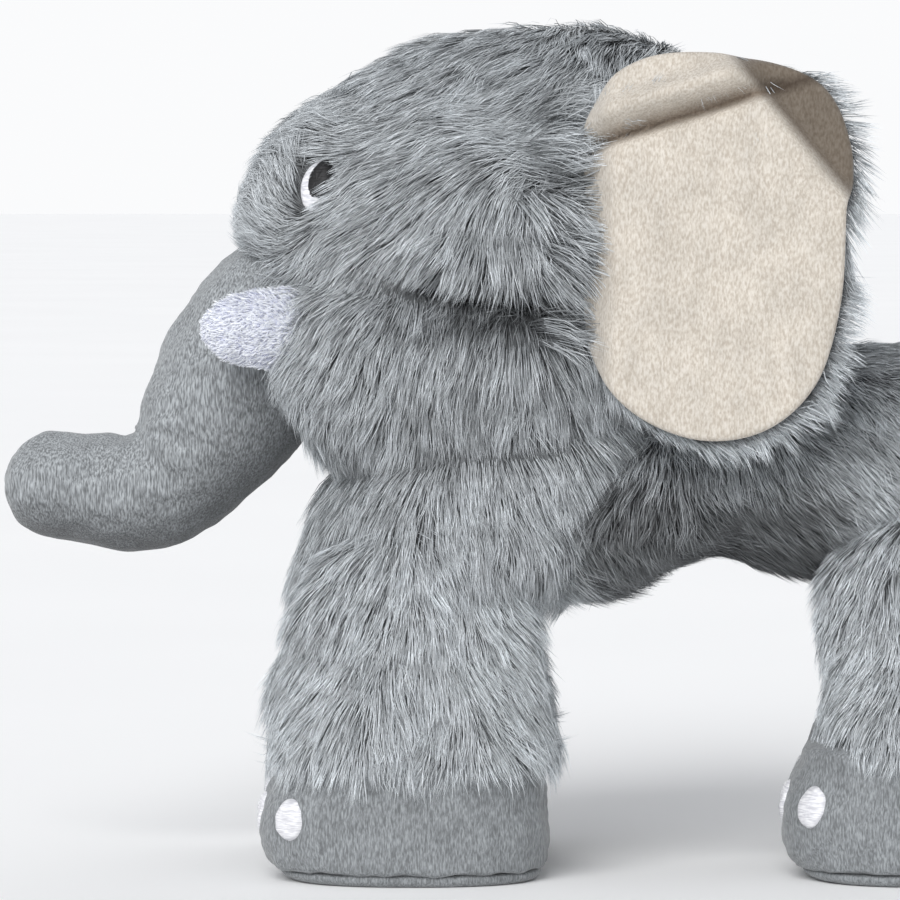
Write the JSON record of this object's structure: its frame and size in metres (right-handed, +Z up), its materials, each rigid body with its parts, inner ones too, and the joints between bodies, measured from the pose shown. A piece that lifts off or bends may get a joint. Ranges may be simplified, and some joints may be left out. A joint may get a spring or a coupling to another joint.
{
  "type": "stuffed elephant",
  "caption": "Standing plush elephant with long grey fur, a velour trunk and feet, large beige-lined ears and short white tusks.",
  "frame": {"origin": "on the floor under the middle of the whole toy's box", "axes": "+Z up, -X towards the trunk, -Y towards the toy's own left side, +Y towards its right side"},
  "size_m": [0.3602, 0.192, 0.293],
  "materials": {
    "fur": "long-pile silver-grey faux fur, 15 to 20 mm strands with dark roots and light tips",
    "velour": "short-pile darker grey plush with a fine nap",
    "ear_lining": "short-pile beige plush with a knit-like nap",
    "tusk_plush": "white short-pile plush",
    "white_stitch": "white satin-stitch embroidery",
    "black_stitch": "black satin-stitch embroidery",
    "filling": "white polyester fibre filling, hidden inside"
  },
  "bodies": {
    "torso": {"torso_panel_left": "fur", "torso_panel_right": "fur", "belly_gusset": "fur", "torso_fill": "filling"},
    "head": {"cheek_left": "fur", "cheek_right": "fur", "bridge_panel": "fur", "chin_panel": "fur", "head_fill": "filling", "eye_left": "white_stitch", "iris_left": "black_stitch", "eye_right": "white_stitch", "iris_right": "black_stitch", "tusk_left": "tusk_plush", "tusk_right": "tusk_plush"},
    "trunk": {"trunk_left": "velour", "trunk_right": "velour", "trunk_fill": "filling"},
    "trunk_tip": {"trunk_tip_left": "velour", "trunk_tip_right": "velour", "trunk_tip_fill": "filling"},
    "ear_left": {"ear_lining_left": "ear_lining", "ear_back_left": "fur"},
    "ear_right": {"ear_lining_right": "ear_lining", "ear_back_right": "fur"},
    "front_leg_left": {"front_sleeve_left": "fur", "front_fill_left": "filling", "front_foot_left": "velour", "front_sole_left": "velour", "front_nails_left": "white_stitch"},
    "front_leg_right": {"front_sleeve_right": "fur", "front_fill_right": "filling", "front_foot_right": "velour", "front_sole_right": "velour", "front_nails_right": "white_stitch"},
    "hind_leg_left": {"hind_sleeve_left": "fur", "hind_fill_left": "filling", "hind_foot_left": "velour", "hind_sole_left": "velour", "hind_nails_left": "white_stitch"},
    "hind_leg_right": {"hind_sleeve_right": "fur", "hind_fill_right": "filling", "hind_foot_right": "velour", "hind_sole_right": "velour", "hind_nails_right": "white_stitch"},
    "tail": {"tail_tube": "velour", "tail_tuft": "fur"}
  },
  "joints": [
    {"name": "neck_nod", "type": "hinge", "parent": "torso", "child": "head", "pos_m": [0.028, 0, 0.152], "axis": [0, 1, 0], "range_deg": [-6, 12], "stiffness_Nm_per_rad": 3},
    {"name": "trunk_lift", "type": "hinge", "parent": "head", "child": "trunk", "pos_m": [-0.088, 0, 0.186], "axis": [0, 1, 0], "range_deg": [-10, 20], "stiffness_Nm_per_rad": 0.6},
    {"name": "trunk_tip_curl", "type": "hinge", "parent": "trunk", "child": "trunk_tip", "pos_m": [-0.137, 0, 0.128], "axis": [0, 1, 0], "range_deg": [-15, 20], "stiffness_Nm_per_rad": 0.2},
    {"name": "ear_left_flap", "type": "hinge", "parent": "head", "child": "ear_left", "pos_m": [0.014, -0.0645, 0.19], "axis": [0, -0.1219, -0.9925], "range_deg": [0, 50], "stiffness_Nm_per_rad": 0.25},
    {"name": "ear_right_flap", "type": "hinge", "parent": "head", "child": "ear_right", "pos_m": [0.014, 0.0645, 0.19], "axis": [0, -0.1219, 0.9925], "range_deg": [0, 50], "stiffness_Nm_per_rad": 0.25},
    {"name": "front_leg_left_swing", "type": "hinge", "parent": "torso", "child": "front_leg_left", "pos_m": [-0.042, -0.048, 0.082], "axis": [0, 1, 0], "range_deg": [-15, 15], "stiffness_Nm_per_rad": 3},
    {"name": "front_leg_right_swing", "type": "hinge", "parent": "torso", "child": "front_leg_right", "pos_m": [-0.042, 0.048, 0.082], "axis": [0, 1, 0], "range_deg": [-15, 15], "stiffness_Nm_per_rad": 3},
    {"name": "hind_leg_left_swing", "type": "hinge", "parent": "torso", "child": "hind_leg_left", "pos_m": [0.13, -0.048, 0.092], "axis": [0, 1, 0], "range_deg": [-15, 15], "stiffness_Nm_per_rad": 3},
    {"name": "hind_leg_right_swing", "type": "hinge", "parent": "torso", "child": "hind_leg_right", "pos_m": [0.14, 0.048, 0.092], "axis": [0, 1, 0], "range_deg": [-15, 15], "stiffness_Nm_per_rad": 3},
    {"name": "tail_swing", "type": "hinge", "parent": "torso", "child": "tail", "pos_m": [0.174, 0, 0.148], "axis": [0, -1, 0], "range_deg": [0, 60], "stiffness_Nm_per_rad": 0.03}
  ]
}
